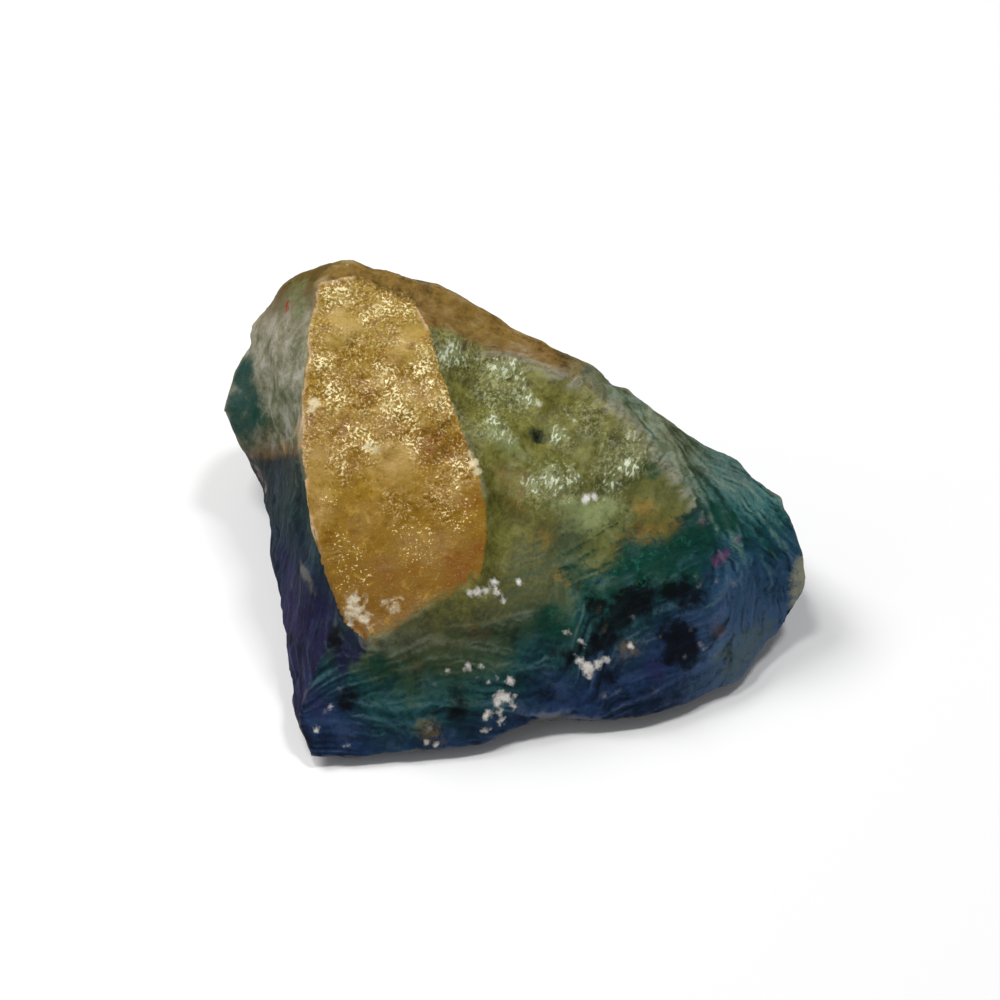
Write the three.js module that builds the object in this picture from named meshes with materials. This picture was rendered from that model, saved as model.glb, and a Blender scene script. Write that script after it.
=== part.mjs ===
// A rough chunk of fluorite, as broken from the vein: one piece of crystal with a broad honey-coloured
// break on top, steep sides, chipped ridges and a flat cleavage face that it rests on.
// Millimetres, +Z up, origin on the resting face under the middle of the stone.
import * as THREE from "three";
import { ConvexHull } from "three/addons/math/ConvexHull.js";
import { ImprovedNoise } from "three/addons/math/ImprovedNoise.js";

// ---- driving dimensions ----
const LONGEST_EDGE = 2.0; // of the finished faces
const MIDDLE = [-1, -1, 12]; // every corner can be seen from here
const SOFTEN_PASSES = 5; // how far weathered ridges are rounded
const SOFTEN_SHARE = 0.5;
const FLAT_BLEND = 1.6; // height over which relief fades out towards the resting face

// ---- corners, as [x, y, z] ----
// The high ridge round the back of the stone, from the left lump over the peak to the right tip.
const HIGH_RIDGE = [
  [-27.7, 14.5, 15], [-25.9, 15.7, 17.5], [-24.6, 17.4, 20.2], [-22.6, 17, 24.3], [-19.8, 16.9, 26.5],
  [-15.5, 15.4, 28.6], [-10.1, 14.8, 28], [-5.8, 13.7, 26.3], [-1.1, 12.5, 25.2], [2.6, 10, 23.5],
  [8.4, 7.9, 22.1], [12.9, 5.4, 19.4], [17.8, 2.2, 17.1], [23.1, 1.6, 15.3], [26.4, -1.3, 13.1],
  [29.6, -5.9, 9.6],
];
// Rim of the honey-coloured break, clockwise from its top left.
const WINDOW = [
  [-18.1, 13, 27.5], [-14.6, 13.4, 28.1], [-10.1, 12.3, 27.4], [-7.2, 8.7, 26.2], [-6.2, 3.9, 24.6],
  [-3.8, -2.6, 21.6], [-2.2, -6.5, 19.7], [-1.7, -10.4, 17.6], [-2.3, -14.6, 15], [-6.9, -16.3, 13.6],
  [-12.2, -18.9, 11.6], [-15.3, -15, 13.2], [-18, -9, 16.2], [-19.2, -1.8, 19.7], [-19.4, 3.1, 22.1],
  [-18.8, 8.5, 25.4],
];
// Shoulder between the green break and the right flank.
const SHOULDER = [
  [2.4, 8, 23.4], [8.1, 5.3, 22.2], [12.4, 1.8, 20.3], [15.4, -1.6, 18.2], [17.6, -5, 16.1],
  [19, -7.8, 13.6],
];
// Hollows and swells of the green break, and its foot, where the front turns down.
const GREEN_BREAK = [
  [1.5, 0.5, 20.6], [8.5, -2.5, 18.3], [1.2, -7.6, 17.4], [13.8, -8.8, 13.8], [8.8, -11.6, 13.4],
  [4.1, -14, 13.2], [-0.5, -15.8, 13.5],
];
// The steep front and right side.
const FRONT = [
  [-15.6, -20.9, 5.5], [-7, -19.9, 7], [-0.5, -18.6, 8.2], [10.7, -16.6, 8.8], [18.6, -12, 9.2],
  [23.2, -8.8, 10.2], [13.8, -18.2, 4.6], [20.5, -14.5, 5],
];
// Low front edge, from the left corner round to the right lump.
const LOW_EDGE = [
  [-18.3, -24.6, 1.1], [-14.3, -24.5, 0.9], [-8, -23.8, 1], [-2.3, -23.2, 1.1], [3.7, -20.3, 2.1],
  [8.9, -20.3, 1.4], [13.8, -19.7, 1.4], [18.7, -17.7, 1.5], [23.2, -15, 1.4], [25.4, -12.3, 2.8],
  [26.6, -10.9, 2.4], [28.6, -9, 3.9], [29.7, -7.3, 7],
];
// The left side: the lump at the back, and the flank in front of it.
const LEFT_SIDE = [
  [-28.7, 11.7, 12.1], [-26.7, 9, 8.4], [-22.6, 6.2, 13], [-23.4, 4.6, 8.8], [-23.3, 1.8, 4.9],
  [-22.6, -5.2, 3.8], [-20.8, -16.4, 3], [-20, -22.6, 3], [-23.6, 10.5, 20.4],
];
// The back, from mid height down to just above the floor, with a ledge across its right half.
const BACK = [
  [-28, 15.8, 9], [-25, 19.8, 13], [-15.5, 21, 19.5], [-4.5, 18.4, 16.5], [2, 15.6, 14.6],
  [8.4, 12.9, 13.6], [15.4, 8.6, 12], [2.2, 17.8, 12.6], [8.8, 15.4, 11.4], [16, 10.8, 10],
  [24.4, 5, 8.8], [29, -2.6, 5.5], [-26.2, 12.6, 2.4], [-24.8, 20.6, 4.6], [-14, 24, 8],
  [-3.4, 22.8, 5.4], [8, 18, 4.4], [18.2, 11.6, 3.2], [26.2, 4.4, 2.4],
];
// Outline of the resting face.
const BASE = [
  [-15.4, -21], [-8.6, -21.4], [-2.8, -19.4], [4.4, -18.2], [11.6, -16.4], [18.4, -15.2], [24.2, -9.4],
  [25.6, -2], [22.2, 3.6], [16, 9.4], [7, 14.6], [-3.2, 20.6], [-13.4, 21.4], [-21.4, 18.8],
  [-23.8, 12], [-21.4, 4], [-19.6, -5], [-18.3, -15.4],
];
const BASE_MIDDLE = [0, 1];
const BASE_RINGS = [0.72, 0.4]; // smaller copies of that outline, which keep the face flat
// Each group of corners with its crispness: 1 keeps the ridges between them sharp, 0 lets them soften.
const GROUPS = [
  [HIGH_RIDGE, 0.7], [WINDOW, 1], [SHOULDER, 0.2], [GREEN_BREAK, 0], [FRONT, 0.3], [LOW_EDGE, 0.6],
  [LEFT_SIDE, 0.5], [BACK, 0.85],
];

// ---- relief, as [x, y, z, radius, depth] ----
// Conchoidal chips, each a shallow bowl with a crisp rim. A negative depth is a swell.
const CHIPS = [
  [-14, 8.5, 27, 6.5, 0.55], [-10, -6, 19.5, 8, 0.5], [-12, -14.5, 14, 5, 0.4],
  [-1.5, 4.5, 23, 5.5, 0.7], [3.4, -6, 18, 4, -0.8], [7.5, 0.5, 20, 5, 0.6], [11, -5, 17, 4.5, 0.5],
  [6, -10.5, 15, 4, 0.5], [17, -13.5, 8.5, 4.5, 0.6], [-10, -20, 8, 5, 0.5], [2.5, -17.5, 8, 4.5, 0.6],
  [-22, 3, 13, 6, 0.6], [-24.5, 12, 17, 5, 0.5], [-20.5, -9, 9, 6, 0.5], [24.5, -11.4, 2.4, 2.6, 0.5],
  [23, 1.5, 12.5, 6, 0.7], [-19, 20.5, 15, 7, 1.1], [-8, 20.5, 13, 8, 1.2], [3, 17, 11, 7, 1.1],
  [12, 12, 9, 6, 0.9], [21, 7, 6.5, 5.5, 0.8], [-26.5, 17, 7, 5, 0.8], [-1, 12.5, 24, 4, 0.5],
  [28, -4.5, 8.5, 3.5, 0.5],
];
// Undulation of the broken faces: [wavelength, height].
const SWELLS = [[11, 0.55], [4.6, 0.26]];
const NOISE_SHIFT = 0.5; // keeps round coordinates off the points where the noise is always zero

const noise = new ImprovedNoise();

function vector([x, y, z]) {
  return new THREE.Vector3(x, y, z);
}

function allCorners() {
  const corners = GROUPS.flatMap(([group, crisp]) => group.map((c) => ({ at: vector(c), crisp })));
  const [middleX, middleY] = BASE_MIDDLE;
  for (const scale of [1, ...BASE_RINGS])
    for (const [x, y] of BASE) {
      const at = vector([middleX + (x - middleX) * scale, middleY + (y - middleY) * scale, 0]);
      corners.push({ at, crisp: 1 });
    }
  return corners;
}

// Seen from the middle, neighbouring corners are joined into triangles.
function joinCorners(corners) {
  const middle = vector(MIDDLE);
  const directions = corners.map((c) => c.at.clone().sub(middle).normalize());
  const indexOf = new Map(directions.map((d, i) => [d, i]));
  const hull = new ConvexHull().setFromPoints(directions);
  return hull.faces.map((face) => {
    const triangle = [];
    let edge = face.edge;
    do {
      triangle.push(indexOf.get(edge.head().point));
      edge = edge.next;
    } while (edge !== face.edge);
    return triangle;
  });
}

// Splits every edge over LONGEST_EDGE at its middle, again and again, until none is left.
function refine(corners, triangles) {
  for (;;) {
    const middles = new Map();
    const keyOf = (a, b) => (a < b ? a + "_" + b : b + "_" + a);
    const middleOf = (a, b) => {
      const key = keyOf(a, b);
      if (middles.has(key)) return middles.get(key);
      if (corners[a].at.distanceTo(corners[b].at) <= LONGEST_EDGE) return -1;
      const at = corners[a].at.clone().lerp(corners[b].at, 0.5);
      corners.push({ at, crisp: Math.min(corners[a].crisp, corners[b].crisp) });
      middles.set(key, corners.length - 1);
      return corners.length - 1;
    };
    const next = [];
    for (const [a, b, c] of triangles) {
      const ab = middleOf(a, b);
      const bc = middleOf(b, c);
      const ca = middleOf(c, a);
      next.push(...splitTriangle([a, b, c], [ab, bc, ca], corners));
    }
    if (!middles.size) return triangles;
    triangles = next;
  }
}

// A triangle's pieces, given the middle of each of its edges, or -1 where an edge stays whole.
function splitTriangle([a, b, c], [ab, bc, ca], corners) {
  const cuts = [ab, bc, ca].filter((m) => m >= 0).length;
  if (cuts === 0) return [[a, b, c]];
  if (cuts === 3) return [[a, ab, ca], [ab, b, bc], [ca, bc, c], [ab, bc, ca]];
  if (cuts === 1) {
    if (ab >= 0) return [[a, ab, c], [ab, b, c]];
    if (bc >= 0) return [[a, b, bc], [a, bc, c]];
    return [[a, b, ca], [ca, b, c]];
  }
  // Two cuts leave a corner triangle and a quad, which its shorter diagonal parts.
  if (ab < 0) return splitQuad(c, ca, a, b, bc, corners);
  if (bc < 0) return splitQuad(a, ab, b, c, ca, corners);
  return splitQuad(b, bc, c, a, ab, corners);
}

function splitQuad(tip, first, left, right, last, corners) {
  const whole = [[tip, first, last]];
  const one = corners[first].at.distanceTo(corners[right].at);
  const other = corners[last].at.distanceTo(corners[left].at);
  if (one < other) return [...whole, [first, left, right], [first, right, last]];
  return [...whole, [first, left, last], [left, right, last]];
}

function neighboursOf(count, triangles) {
  const found = Array.from({ length: count }, () => new Set());
  for (const [a, b, c] of triangles) {
    found[a].add(b).add(c);
    found[b].add(a).add(c);
    found[c].add(a).add(b);
  }
  return found;
}

// Rounds the weathered ridges a little. Points of the resting face stay where they are.
function soften(corners, triangles) {
  const neighbours = neighboursOf(corners.length, triangles);
  for (let pass = 0; pass < SOFTEN_PASSES; pass++) {
    const moved = corners.map(({ at, crisp }, i) => {
      const mean = new THREE.Vector3();
      neighbours[i].forEach((n) => mean.add(corners[n].at));
      mean.divideScalar(neighbours[i].size);
      return at.clone().lerp(mean, SOFTEN_SHARE * (1 - crisp));
    });
    moved.forEach((at, i) => corners[i].at.copy(at));
  }
}

function normalsOf(corners, triangles) {
  const normals = corners.map(() => new THREE.Vector3());
  for (const [a, b, c] of triangles) {
    const ab = corners[b].at.clone().sub(corners[a].at);
    const ac = corners[c].at.clone().sub(corners[a].at);
    const facing = ab.cross(ac);
    [a, b, c].forEach((i) => normals[i].add(facing));
  }
  return normals.map((n) => n.normalize());
}

// How far the broken surface stands out at a point: swells and fine waves less the chips.
function reliefAt(p) {
  let height = 0;
  for (const [wavelength, size] of SWELLS) {
    const [x, y, z] = p.toArray().map((v) => v / wavelength + NOISE_SHIFT);
    height += size * noise.noise(x, y, z);
  }
  for (const [x, y, z, radius, depth] of CHIPS) {
    const share = p.distanceTo(new THREE.Vector3(x, y, z)) / radius;
    if (share < 1) height -= depth * (1 - share * share);
  }
  return height;
}

function roughen(corners, triangles) {
  const normals = normalsOf(corners, triangles);
  corners.forEach(({ at }, i) => {
    const fade = THREE.MathUtils.smoothstep(at.z, 0, FLAT_BLEND);
    at.addScaledVector(normals[i], fade * reliefAt(at));
    at.z = Math.max(at.z, 0);
  });
}

function stoneGeometry() {
  const corners = allCorners();
  const triangles = refine(corners, joinCorners(corners));
  soften(corners, triangles);
  roughen(corners, triangles);
  const geometry = new THREE.BufferGeometry();
  geometry.setAttribute(
    "position",
    new THREE.Float32BufferAttribute(corners.flatMap(({ at }) => at.toArray()), 3),
  );
  geometry.setIndex(triangles.flat());
  geometry.computeVertexNormals();
  geometry.computeBoundingBox();
  const { min, max } = geometry.boundingBox;
  return geometry.translate(-(min.x + max.x) / 2, -(min.y + max.y) / 2, 0);
}

const material = new THREE.MeshStandardMaterial({ color: 0x7d7a45, roughness: 0.45, metalness: 0 });
const stone = new THREE.Mesh(stoneGeometry(), material);
stone.name = "fluorite";

const group = new THREE.Group();
group.add(stone);
export default group;
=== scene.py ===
"""Rough fluorite: one broken chunk of crystal with a honey-coloured break on top, a green break beside it
and dark blue sides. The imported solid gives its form. Here it gets a finer broken surface and its colours."""

import math

import bpy
import numpy as np
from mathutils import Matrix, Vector, noise
from mathutils.bvhtree import BVHTree
from numpy.linalg import norm


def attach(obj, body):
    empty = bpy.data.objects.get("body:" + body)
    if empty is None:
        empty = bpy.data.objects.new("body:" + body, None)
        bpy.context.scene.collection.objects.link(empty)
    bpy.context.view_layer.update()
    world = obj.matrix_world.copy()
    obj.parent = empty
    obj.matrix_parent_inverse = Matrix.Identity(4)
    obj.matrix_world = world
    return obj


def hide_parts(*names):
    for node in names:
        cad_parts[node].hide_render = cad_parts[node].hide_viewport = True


MM = 0.001

# ---- the stone's own places, in millimetres ----
TIE = 1e-6  # lengths that differ by less than this are the same
CENTRE = np.array([-0.48, 0.11, 0.0])  # where the corners' own origin lies in the frame
MIDDLE = np.array([-1.0, -1.0, 12.0]) + CENTRE  # the whole surface can be seen from here
# Rim of the honey-coloured break, clockwise from its top left.
WINDOW = np.array([
    (-18.1, 13, 27.5), (-14.6, 13.4, 28.1), (-11.2, 12.0, 27.4), (-8.8, 10.6, 27.0), (-7.2, 8.0, 26.0),
    (-6.2, 3.9, 24.6), (-3.8, -2.6, 21.6), (-2.2, -6.5, 19.7), (-1.7, -10.4, 17.6), (-2.2, -13.9, 15.3),
    (-4.2, -15.2, 14.6), (-6.9, -15.8, 14.0), (-8.6, -17.2, 13.0), (-10.8, -18.0, 12.1), (-13.1, -18.4, 11.4),
    (-14.8, -16.9, 12.1), (-15.9, -15, 13.2), (-18.2, -9, 16.2), (-19.2, -1.8, 19.7), (-19.4, 3.1, 22.1),
    (-18.8, 8.5, 25.4),
]) + CENTRE
RIGHT_STRETCH = 4  # the first of the rim's stretches on its right side
LEFT_STRETCH = 14  # the rim's stretches from this one on are its left side
SOFT_STRETCH = 9  # from this one to the left side, the honey colour fades into the green
SOFT_TOP = [1, 2]  # so it does on these
PAINTED_HIGHLIGHT_STRETCHES = [0, 3, *range(LEFT_STRETCH, len(WINDOW))]  # with a painted highlight along a thin edge
LINE_WIDTH = 0.7  # of the shoulder's pale line
RIM_HIGHLIGHT_WIDTH = 0.22  # of the painted highlight along the break's thin edge
WINDOW_DEPTH = 3.0  # nothing further than this from the break's own plane belongs to it
NO_MARK = -9.0  # how far outside its marks a point is at most said to be
# Where the green crystal ends and the blue begins: (x, y, height of the change).
CHANGES = np.array([
    (-23, 5, 15), (-20, -10, 14.5), (-17, -20, 9.5), (-10, -22, 5.8), (-2, -21, 6.6), (4, -18, 8.8),
    (9, -13, 12.0), (14, -10, 13.4), (19, -6, 14), (24, -1, 12), (28, -5, 11.5), (-26, 13, 14),
    (-24, 20, 10), (-12, 22, 9), (0, 20, 8), (10, 14, 9), (20, 8, 10), (27, 2, 10),
]) + CENTRE

# ---- the camera ----
ELEVATION = math.radians(45)
TARGET = np.array([-0.5, -1.0, 12.0]) + CENTRE
LENS, SENSOR = 80.0, 36.0
FRAME_WIDTH = 97.0  # of the view at the target
DISTANCE = FRAME_WIDTH * LENS / SENSOR
IMAGE = 1000  # the view's width and height, in pixels
LOOK = np.array([0.0, math.cos(ELEVATION), -math.sin(ELEVATION)])
UP = np.array([0.0, math.sin(ELEVATION), math.cos(ELEVATION)])
RIGHT = np.array([1.0, 0.0, 0.0])

# ---- the studio, in metres ----
FLOOR_REACH = 3.0
FLOOR_GAP = 0.00002  # between the floor and the stone, so that their faces don't fight
SKY_STRENGTH = 0.14
# (name, place, width, power in watts)
LAMPS = [
    ("key", (-0.38, 0.24, 0.60), 0.30, 3.2), ("honey glint", (-0.148, 0.038, 0.703), 0.11, 1.2),
    ("green glint", (0.211, 0.094, 0.681), 0.11, 1.5), ("fill", (0.35, -0.60, 0.45), 0.50, 0.5),
    ("side", (-0.60, -0.20, 0.35), 0.40, 0.35),
]

# The pale line of the shoulder behind the green break, from left to right, in the camera's view.
SHOULDER = [
    (440, 330), (476, 344), (497, 354), (517, 359), (537, 367), (563, 380), (590, 389), (601, 399),
    (626, 417), (640, 433), (664, 466), (677, 477), (696, 508), (708, 540), (722, 585),
]

# ---- marks, as (pixel x, pixel y, radius in millimetres) in the camera's view ----
MARKS = {
    "white": [(586, 499, 0.55), (594, 497, 0.5), (470, 593, 0.4), (478, 593, 0.55), (486, 591, 0.45),
        (494, 583, 0.5), (498, 594, 0.4), (503, 599, 0.4), (519, 583, 0.35), (467, 666, 0.5),
        (481, 666, 0.35), (447, 672, 0.35), (510, 680, 0.5), (503, 697, 0.85), (497, 702, 0.5),
        (499, 711, 0.4), (487, 715, 0.45), (501, 721, 0.45), (514, 706, 0.4), (515, 696, 0.3),
        (486, 730, 0.4), (480, 677, 0.22), (488, 682, 0.22), (497, 679, 0.25), (567, 633, 0.35),
        (580, 641, 0.42), (586, 644, 0.3), (579, 660, 0.5), (587, 668, 0.75), (589, 675, 0.5),
        (598, 664, 0.55), (606, 660, 0.35), (631, 646, 0.35), (331, 707, 0.32), (316, 730, 0.4),
        (345, 746, 0.3), (426, 743, 0.35), (436, 745, 0.3), (348, 264, 0.25)],
    # Chalky flecks at the foot of the honey-coloured break.
    "chalk": [(357, 600, 0.6), (354, 611, 0.75), (361, 620, 0.55), (387, 603, 0.45), (395, 606, 0.4),
        (351, 622, 0.4)],
    # Single grey flecks.
    "pale": [(698, 578, 0.4), (699, 584, 0.35), (717, 580, 0.3), (735, 584, 0.4), (699, 645, 0.35),
        (705, 649, 0.3), (685, 656, 0.3), (679, 668, 0.3), (661, 636, 0.25), (692, 629, 0.25),
        (632, 617, 0.22), (433, 684, 0.4), (339, 689, 0.35), (326, 711, 0.3), (428, 728, 0.4),
        (619, 690, 0.3), (604, 696, 0.25)],
    "tan": [(646, 508, 1), (652, 513, 0.9), (640, 505, 0.7), (638, 532, 0.8), (650, 532, 0.8),
        (662, 528, 0.8), (672, 521, 0.7), (626, 650, 0.5), (480, 322, 3), (455, 300, 2.5), (505, 338, 1.6),
        (350, 272, 2), (395, 276, 2), (545, 540, 0.6), (558, 578, 0.5), (428, 732, 0.8)],
    "rust": [(500, 352, 1), (515, 352, 0.7), (640, 530, 0.7), (655, 531, 0.6), (668, 524, 0.5),
        (519, 492, 0.9), (518, 505, 0.5), (505, 475, 1), (522, 478, 0.8), (625, 538, 0.7), (618, 548, 0.5),
        (716, 628, 0.45), (480, 634, 0.35), (417, 663, 0.5), (560, 495, 0.5)],
    # Rusty clefts of the honey-coloured break.
    "stain": [(381, 364, 0.8), (395, 361, 0.5), (430, 339, 0.5), (332, 306, 0.3), (360, 381, 0.9),
        (367, 395, 0.8), (420, 390, 0.7), (313, 416, 0.7), (344, 427, 0.8), (392, 431, 0.9), (430, 446, 1.5),
        (458, 450, 1.2), (354, 463, 0.4), (478, 497, 0.8), (466, 500, 0.7), (462, 562, 1.6), (460, 581, 1.3),
        (476, 548, 1), (381, 567, 0.6), (390, 578, 0.6), (414, 568, 0.4)],
    "teal": [(653, 468, 0.8), (630, 558, 1.2), (655, 562, 1.6), (680, 550, 1.8), (700, 535, 1.5),
        (690, 572, 1.4), (545, 620, 1.4), (560, 630, 1.2), (380, 665, 1.2), (540, 437, 0.5), (725, 520, 1.2),
        (672, 565, 1.2), (715, 510, 1), (705, 550, 1.2), (640, 572, 1.2), (620, 575, 1), (610, 590, 1),
        (668, 580, 1), (595, 595, 1), (258, 412, 0.9), (262, 420, 0.7)],
    "black": [(679, 645, 2.2), (672, 636, 1.4), (690, 650, 1.2), (683, 593, 1.3), (672, 590, 1),
        (695, 598, 0.9), (645, 592, 1), (634, 600, 1.6), (622, 612, 1.5), (610, 628, 1.4), (600, 643, 1.1),
        (588, 652, 1), (573, 655, 0.7), (345, 703, 0.8), (352, 697, 0.6), (545, 690, 0.8), (612, 675, 0.7),
        (600, 608, 1), (335, 640, 0.8), (540, 440, 0.3), (300, 500, 0.6), (292, 640, 0.8), (455, 715, 0.9),
        (460, 700, 0.7)],
    "pink": [(722, 557, 0.5), (717, 562, 0.4), (727, 552, 0.3), (738, 539, 0.3), (704, 521, 0.25)],
    # Pale cream on the thin right edge: painted light shining through it.
    "painted_edge_glow": [(802, 566, 1), (801, 578, 1), (798, 590, 0.9), (795, 602, 0.6)],
    # The teal hollow of the left lump.
    "lagoon": [(246, 362, 1), (243, 376, 2), (247, 390, 1.9), (251, 405, 1.9), (249, 420, 1.8),
        (240, 405, 2.3), (237, 425, 1.9), (246, 436, 1.1), (243, 446, 0.6)],
    "cyan": [(632, 556, 0.7), (645, 555, 0.6), (655, 556, 0.6), (690, 555, 0.6), (684, 545, 0.4),
        (652, 577, 0.5), (640, 577, 0.5), (560, 612, 0.5), (556, 623, 0.4), (568, 618, 0.4), (672, 548, 0.5),
        (620, 565, 0.5)],
    "moss": [(295, 290, 1.5), (300, 310, 1.2), (560, 500, 1.4), (585, 515, 1.6), (605, 510, 1.2)],
    # Where the breaks are hackled and glitter.
    "hackle": [(335, 300, 2.2), (350, 345, 2), (395, 300, 2.4), (410, 320, 1.6), (320, 370, 1.2),
        (420, 365, 2), (340, 400, 2), (370, 395, 2), (400, 410, 3), (425, 390, 2), (440, 420, 2.4),
        (375, 440, 2.6), (345, 430, 1.6), (465, 470, 1.2), (345, 470, 0.8), (455, 460, 1.6), (460, 350, 2.6),
        (500, 370, 2.2), (495, 395, 2), (515, 400, 1.6), (490, 425, 1.4), (560, 480, 2.2), (545, 490, 1.6),
        (590, 420, 1.4), (560, 440, 1), (625, 455, 2.2), (610, 480, 1.6), (635, 440, 1.6), (400, 505, 1.2),
        (440, 500, 1.6)],
    # Where the green break glitters most: glints are painted there, over a glossy coat.
    "painted_gleam": [(455, 354, 1.5), (472, 359, 0.7), (503, 369, 1.2), (518, 378, 0.8), (528, 401, 0.9),
        (512, 398, 0.8), (495, 422, 0.9), (505, 434, 0.9), (560, 434, 0.9), (572, 417, 0.7), (554, 438, 0.6),
        (552, 478, 1.2), (573, 470, 1), (577, 478, 0.8), (535, 484, 0.7), (564, 480, 1), (627, 466, 1),
        (616, 482, 0.8), (633, 443, 0.8), (637, 457, 0.6)],
    "rose": [(249, 455, 0.6), (255, 466, 0.8), (261, 477, 0.7), (266, 488, 0.5)],
    "sage": [(504, 441, 1.1), (512, 449, 0.8), (498, 432, 0.7), (570, 512, 1.2), (592, 515, 1.4),
        (612, 508, 1)],
    # Smooth places of the honey-coloured break.
    "satin": [(342, 319, 1), (400, 351, 0.9), (350, 325, 0.8), (330, 346, 0.6), (412, 335, 0.8),
        (395, 465, 1.6), (317, 455, 0.5), (318, 475, 0.6), (320, 495, 0.6), (323, 515, 0.5)],
    "red": [(287, 304, 0.36), (287, 309, 0.3)],
    "peach": [(298, 424, 0.5), (299, 433, 0.5), (301, 442, 0.45), (284, 447, 0.45), (292, 446, 0.4),
        (303, 412, 0.3)],
    "haze": [(745, 650, 1.6), (757, 640, 1.4), (735, 668, 1.2), (768, 628, 0.8), (724, 655, 0.8)],
    # Painted sheen: the bright folds of the honey-coloured break.
    "sheen": [(337, 297, 1.3), (383, 304, 1.1), (404, 307, 0.7), (362, 318, 1), (346, 327, 0.9),
        (323, 360, 1), (425, 353, 1.1), (399, 343, 0.6), (420, 369, 1), (383, 376, 1.2), (334, 392, 1.2),
        (314, 404, 0.7), (399, 404, 1.6), (411, 416, 1.2), (439, 399, 1), (430, 385, 0.7), (360, 432, 0.9),
        (376, 446, 0.9), (390, 439, 0.7), (344, 441, 0.6), (409, 448, 0.8), (462, 462, 0.7), (458, 488, 0.6),
        (339, 467, 0.5)],
    # Painted shade in the hollows of the green break.
    "painted_hollow_shade": [(468, 407, 0.9), (474, 438, 0.8), (487, 482, 1), (497, 497, 1), (568, 453, 0.8), (598, 484, 0.9),
        (591, 434, 0.6), (468, 382, 0.7), (621, 424, 0.8)],
    # The shaded strip under the honey-coloured break.
    "shade": [(445, 608, 1.6), (425, 620, 1.6), (400, 634, 1.4), (470, 604, 1.1), (380, 645, 1.2),
        (450, 625, 1.6), (485, 615, 1.4), (415, 640, 1.4), (500, 590, 0.8), (480, 640, 1.2)],
    # Painted gold sparkles on the lower honey-coloured break.
    "sparkles": [(405, 525, 1.2), (425, 540, 1.2), (415, 555, 1), (455, 515, 1.2), (460, 525, 0.9),
        (335, 540, 0.9), (350, 560, 1.2), (360, 575, 1), (470, 500, 0.6), (330, 500, 0.8), (345, 585, 0.6)],
    # Chalky chips on the rim.
    "chips": [(469, 455, 0.35), (474, 463, 0.5), (478, 471, 0.4), (314, 404, 0.55), (311, 409, 0.35),
        (369, 446, 0.3), (377, 449, 0.3)],
    "violet": [(283, 556, 0.9), (290, 575, 1.2), (292, 597, 1.3), (287, 615, 1), (298, 629, 0.8),
        (308, 692, 1), (318, 707, 1), (655, 672, 0.9), (698, 643, 0.7)],
}

# ---- knobs and hollows, as (pixel x, pixel y, radius, height in millimetres) ----
KNOBS = [
    (505, 436, 1.9, 0.55), (565, 476, 2.3, 0.4), (540, 437, 0.7, -0.6), (455, 350, 2.0, 0.3),
    (507, 374, 2.0, 0.35), (626, 460, 2.2, 0.35), (585, 512, 2.4, 0.25), (520, 485, 1.8, -0.3),
    (535, 410, 1.6, -0.25), (478, 400, 2.0, -0.25), (562, 428, 1.2, 0.3), (652, 508, 1.4, 0.3),
    (640, 530, 1.0, -0.25), (314, 405, 0.8, 0.25), (476, 468, 0.8, 0.2), (679, 645, 1.6, -0.3),
    (634, 600, 1.4, -0.25), (340, 335, 2.2, 0.3), (405, 350, 1.8, 0.25), (370, 440, 2.2, 0.3),
    (425, 400, 2.0, 0.25), (360, 375, 2.2, -0.3), (400, 375, 1.6, -0.25), (455, 445, 1.6, -0.25),
    (797, 585, 1.6, 0.2), (755, 645, 1.8, 0.25),
]

# ---- the finer surface ----
SPLITS = 2  # times that each triangle of the solid is split in four
SHARP = math.radians(32)  # an edge of the solid that bends more than this stays sharp
FLAT_BLEND = 1.4  # height over which relief fades out towards the resting face
FACETS = 150  # small broken faces over the whole stone
FACET_TILT = 0.14
FACET_EDGE = 0.35  # how softly one of them runs into the next, in millimetres
STREAK_STEPS = 12  # how many points far the streaks reach, to both sides
BULGE_STEPS = 6  # how many points far its surroundings reach where a ridge or hollow is measured
SHARPENING = 1.0
SEED = 7
# Which way the streaks and ribs run in the camera's view, in degrees from straight down, towards the right.
FRONT_TURN, RISING_TURN, LEFT_TURN, TOP_TURN, SHOULDER_TURN, TIP_TURN = 90, 116, -3, 66, 205, 182
RIDGE_TURN = 236
RIB_FLOW = np.array([-0.32, -0.87, -0.37])  # of the green break's ribs

# ---- the map that materials are baked on: a box round the stone, unfolded ----
MAP_BOX = np.array([29.0, 24.0, 14.0])  # half the box's sides, in millimetres
MAP_MARGIN = 0.06  # share of each side of the box that stays empty round it
# Left, low edge, width and height on the map of each side, by (axis, whether it is the low side).
MAP_SIDES = {
    (0, True): (0.66, 0.00, 0.34, 0.25), (0, False): (0.66, 0.27, 0.34, 0.25),
    (1, True): (0.00, 0.28, 0.64, 0.22), (1, False): (0.32, 0.00, 0.32, 0.26),
    (2, True): (0.00, 0.00, 0.30, 0.26), (2, False): (0.00, 0.52, 0.64, 0.48),
}

# ---- colours, as rrggbb ----
# By the height in millimetres above the change from green to blue. From the foot up: ink blue, denim blue,
# petrol, sea green, moss and olive brown.
FRONT_ZONES = [
    (-9, "081e34"), (-6, "223a60"), (-3, "10303c"), (-1, "205050"), (1, "384e38"), (4, "50583a"),
    (10, "806c40"),
]
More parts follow.
